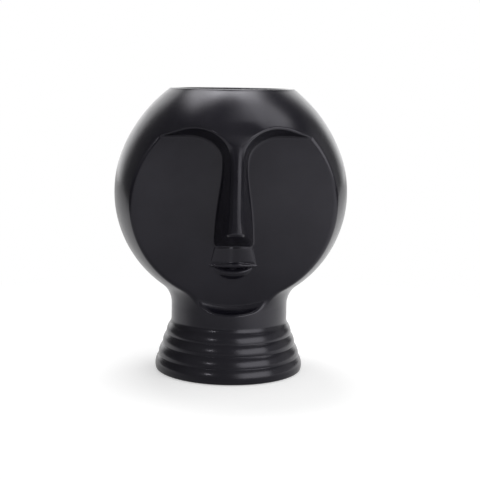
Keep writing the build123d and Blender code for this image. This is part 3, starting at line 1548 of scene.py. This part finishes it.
@dataclass(frozen=True)
class Studio:
    """Pale floor, white surroundings and soft lamps. Metres."""

    floor_half: float = 3.0
    floor_albedo: float = 0.80
    floor_glow: float = 0.42
    # Painted shade on the table as the glaze sees it: dimmer near the front and on the left.
    near_front_painted_shade: float = 0.30
    far_front_painted_shade: float = 0.62
    painted_shade_reach: Point = (0.14, 0.50)
    left_painted_shade_level: float = 0.80
    right_painted_shade_level: float = 1.0
    side_turn: Point = (-0.05, 0.25)
    front_from: Point = (0.04, -0.10)
    front_right: Point = (0.22, 0.02)
    table_left: float = -0.42
    table_right: float = 0.65
    table_front: float = -0.75
    table_soft: float = 0.12
    table_widens: float = 0.9
    # Painted shade: the floor's dark level beyond the table, as the glaze sees it.
    painted_dark_beyond_table: float = 0.08
    white_reach: Point = (0.10, 0.42)
    fill: float = 0.45
    room: float = 0.13
    overhead_from: Point = (0.3, 0.5)
    least_rise: float = 0.02
    # Painted reflections in the glaze: windows round the vase and panels overhead, seen by glossy rays only.
    windows: tuple[PaintedReflectionWindow, ...] = (
        PaintedReflectionWindow(-5.0, 75.0, 25.0, 2.0, 75.0, 4.0, 0.15),
        PaintedReflectionWindow(98.0, 26.0, 8.0, -10.0, 30.0, 6.0, 0.35),
        PaintedReflectionWindow(180.0, 38.0, 9.0, -6.0, 40.0, 6.0, 1.5),
    )
    panels: tuple[PaintedReflectionPanel, ...] = (
        PaintedReflectionPanel(0.08, 1.0, -0.30, 0.22, 0.06, 2.0),
        PaintedReflectionPanel(-0.56, 0.36, 0.13, 0.75, 0.12, 4.0),
        PaintedReflectionPanel(-0.28, 0.16, 0.16, 0.60, 0.08, 3.6),
    )
    lamps: tuple[SoftLamp, ...] = (
        SoftLamp("front_right_softbox", (0.85, -1.05, 0.36), 0.1, 1.3, 0.9, 2.3, True),
        SoftLamp("front_left_lamp", (-0.8, -1.15, 0.55), 0.1, 0.08, 0.08, 40.0, True),
        # The overhead softboxes light the scene but don't show in the glaze; the panels paint their
        # reflection there.
        SoftLamp("overhead_back_softbox", (-0.08, 0.40, 1.20), 0.15, 0.6, 0.42, 8.0),
        SoftLamp("overhead_right_softbox", (0.58, -0.08, 1.20), 0.15, 0.7, 0.55, 2.3),
    )

    @staticmethod
    def seen_or_mirrored(tree: TreeBuilder) -> tuple[Socket, Socket]:
        """Tells straight sight from mirrored sight.

        Args:
            tree: The tree to add to.

        Returns:
            1 for camera and transmission rays, and 1 for glossy rays.
        """
        path = tree.node("ShaderNodeLightPath").outputs
        straight = tree.math("MAXIMUM", path["Is Camera Ray"], path["Is Transmission Ray"])
        return straight, path["Is Glossy Ray"]

    def window_share(self, tree: TreeBuilder, window: PaintedReflectionWindow, parts: tuple[Socket, ...]) -> Socket:
        """How much each direction looks into a window.

        Args:
            tree: The world's tree.
            window: The window.
            parts: The three parts of the direction.

        Returns:
            1 inside the window, with soft edges.
        """
        x, y, z = parts
        flat = tree.math("SQRT", tree.math("ADD", tree.math("MULTIPLY", x, x), tree.math("MULTIPLY", y, y)))
        centre = math.radians(window.azimuth)
        ahead = tree.math("SUBTRACT", tree.math("MULTIPLY", x, math.sin(centre)),
                          tree.math("MULTIPLY", y, math.cos(centre)))
        aside = tree.math("ARCCOSINE", tree.math("DIVIDE", ahead, flat))
        across = tree.step(aside, math.radians(window.half_width + window.side_soft),
                           math.radians(window.half_width - window.side_soft))
        upright = tree.band(tree.math("ARCSINE", z), math.radians(window.low), math.radians(window.high),
                            math.radians(window.end_soft))
        return tree.math("MULTIPLY", across, upright)

    def panel_share(self, tree: TreeBuilder, panel: PaintedReflectionPanel, parts: tuple[Socket, ...]) -> Socket:
        """How much each direction looks into a panel overhead.

        Args:
            tree: The world's tree.
            panel: The panel.
            parts: The three parts of the direction.

        Returns:
            1 inside the panel, with soft edges.
        """
        x, y, z = parts
        above = tree.math("MAXIMUM", z, self.least_rise)
        across = tree.band(tree.math("DIVIDE", x, above), panel.left, panel.right, panel.soft)
        deep = tree.band(tree.math("DIVIDE", y, above), panel.front, panel.back, panel.soft)
        return tree.math("MULTIPLY", tree.step(z, *self.overhead_from), tree.math("MULTIPLY", across, deep))

    def build_world(self) -> None:
        """White to the eye, dim to the floor and, in the glaze, a dark room with soft bright regions: painted
        reflections that only glossy rays see.
        """
        world = bpy.data.worlds.new("studio_surroundings")
        bpy.context.scene.world = world
        world.use_nodes = True
        tree = TreeBuilder(world.node_tree)
        parts = tree.split(tree.node("ShaderNodeTexCoord").outputs["Generated"])
        # Painted reflections: the room's level plus each window and panel, for glossy rays.
        mirrored = self.room
        for regions, share in ((self.windows, self.window_share), (self.panels, self.panel_share)):
            for region in regions:
                light = tree.math("MULTIPLY", share(tree, region, parts), region.level)
                mirrored = tree.math("ADD", mirrored, light)
        straight, glossy = self.seen_or_mirrored(tree)
        level = tree.blend(straight, tree.blend(glossy, self.fill, mirrored), 1.0)
        background = world.node_tree.nodes["Background"]
        background.inputs["Color"].default_value = (1.0, 1.0, 1.0, 1.0)
        tree.plug(level, background.inputs["Strength"])

    def table_share(self, tree: TreeBuilder, x: Value, y: Value) -> Socket:
        """Where the glaze sees the pale table, which widens behind the vase.

        Args:
            tree: The floor's tree.
            x: Place across the floor.
            y: Place along the floor.

        Returns:
            1 on the table and 0 beyond its soft edges.
        """
        soft = self.table_soft
        wider = tree.math("MULTIPLY", tree.math("MAXIMUM", y, 0.0), self.table_widens)
        left = tree.step(tree.math("ADD", x, wider), self.table_left - soft, self.table_left + soft)
        right = tree.step(tree.math("SUBTRACT", x, wider), self.table_right + soft, self.table_right - soft)
        front = tree.step(y, self.table_front - soft, self.table_front + soft)
        return tree.math("MULTIPLY", tree.math("MULTIPLY", left, right), front)

    def mirrored_painted_shade(self, tree: TreeBuilder, x: Value, y: Value, reach: Value) -> Socket:
        """Painted shade on the table as the glaze sees it: dimmer in front, where the camera's side is dark,
        and dimmer on the left.

        Args:
            tree: The floor's tree.
            x: Place across the floor.
            y: Place along the floor.
            reach: Distance from the vase's axis.

        Returns:
            The share of the floor's plain level.
        """
        ahead = tree.math("MULTIPLY", tree.step(y, *self.front_from), tree.step(x, *self.front_right))
        dim = tree.blend(tree.step(reach, *self.painted_shade_reach), self.near_front_painted_shade, self.far_front_painted_shade)
        pale = tree.blend(tree.step(x, *self.side_turn), self.left_painted_shade_level, self.right_painted_shade_level)
        return tree.blend(ahead, pale, dim)

    def floor_material(self) -> bpy.types.Material:
        """The floor's finish: pale, with the vase's shadow, and white away from it; in the glaze it carries
        painted shade and is painted dark beyond the table.

        Returns:
            The material.
        """
        material = bpy.data.materials.new("pale_floor")
        material.use_nodes = True
        material.node_tree.nodes.clear()
        tree = TreeBuilder(material.node_tree)
        place = tree.node("ShaderNodeTexCoord").outputs["Object"]
        x, y, _ = tree.split(place)
        length = tree.node("ShaderNodeVectorMath", operation="LENGTH")
        tree.plug(place, length.inputs[0])
        reach = length.outputs["Value"]
        straight, glossy = self.seen_or_mirrored(tree)
        # In the glaze, painted shade scales down the floor's colour and glow.
        share = tree.blend(glossy, 1.0, self.mirrored_painted_shade(tree, x, y, reach))

        matte = tree.node("ShaderNodeBsdfDiffuse")
        tree.plug(tree.math("MULTIPLY", share, self.floor_albedo), matte.inputs["Color"])
        glow = tree.node("ShaderNodeEmission")
        seen = tree.math("MULTIPLY", tree.math("MAXIMUM", straight, glossy), self.floor_glow)
        tree.plug(tree.math("MULTIPLY", seen, share), glow.inputs["Strength"])
        lit = tree.node("ShaderNodeAddShader")
        tree.plug(matte.outputs[0], lit.inputs[0])
        tree.plug(glow.outputs[0], lit.inputs[1])

        white = tree.node("ShaderNodeEmission").outputs[0]
        # Painted shade: in the glaze, the floor beyond the table's edges is painted dark.
        dark = tree.node("ShaderNodeEmission")
        dark.inputs["Strength"].default_value = self.painted_dark_beyond_table
        whitened = tree.math("MULTIPLY", straight, tree.step(reach, *self.white_reach))
        beyond = tree.math("MULTIPLY", glossy, tree.math("SUBTRACT", 1.0, self.table_share(tree, x, y)))
        surface = lit.outputs[0]
        for factor, other in ((whitened, white), (beyond, dark.outputs[0])):
            mix = tree.node("ShaderNodeMixShader")
            for value, target in zip((factor, surface, other), mix.inputs):
                tree.plug(value, target)
            surface = mix.outputs[0]
        tree.plug(surface, tree.node("ShaderNodeOutputMaterial").inputs["Surface"])
        return material

    def build(self) -> None:
        """Sets the surroundings, the floor and the lamps."""
        self.build_world()
        half = self.floor_half
        mesh = bpy.data.meshes.new("floor")
        corners = [(-half, -half, 0), (half, -half, 0), (half, half, 0), (-half, half, 0)]
        mesh.from_pydata(corners, [], [(0, 1, 2, 3)])
        mesh.materials.append(self.floor_material())
        floor = add_object("floor", mesh)
        for lamp in self.lamps:
            lamp.build()


@dataclass(frozen=True)
class PhotoCamera:
    """Camera at the photograph's viewing angle. Millimetres in the vase's frame."""

    distance: float = 900.0
    height: float = 233.4
    turn: float = math.radians(-3.4)
    pitch: float = math.radians(8.30)
    roll: float = math.radians(0.85)
    focal_px: float = 1161.0
    picture_px: float = 480.0
    axis_offset_px: float = -9.98
    sensor_mm: float = 36.0
    clip_start: float = 0.01

    def build(self) -> None:
        """Adds the camera and makes it the scene's own."""
        data = bpy.data.cameras.new("photo_camera")
        data.sensor_width = self.sensor_mm
        data.lens = self.focal_px / self.picture_px * self.sensor_mm
        data.shift_x = -self.axis_offset_px / self.picture_px
        data.clip_start = self.clip_start
        camera = add_object("photo_camera", data)
        reach = self.distance * MM
        camera.location = (reach * math.sin(self.turn), -reach * math.cos(self.turn), self.height * MM)
        way = Vector((-math.sin(self.turn) * math.cos(self.pitch), math.cos(self.turn) * math.cos(self.pitch),
                      -math.sin(self.pitch)))
        camera.rotation_euler = way.to_track_quat("-Z", "Y").to_euler()
        camera.rotation_euler.rotate_axis("Z", self.roll)
        bpy.context.scene.camera = camera


def main() -> None:
    """Builds every piece in order, then the studio and the camera."""
    logging.basicConfig(level=logging.INFO, format="%(name)s: %(message)s")
    glaze = BlackGlaze().material()
    for piece in (
        Head(glaze),
        RingedFoot(glaze),
        InnerSkin(InnerGlaze().material()),
        ClayFloor(BareClay().material()),
        FootPads(PadRubber().material()),
    ):
        dressed = piece.dress()
        LOG.info("%s has %d faces", dressed.name, len(dressed.data.polygons))
    Studio().build()
    PhotoCamera().build()
    bpy.context.scene.view_settings.view_transform = "Standard"


if __name__ == "__main__":
    main()
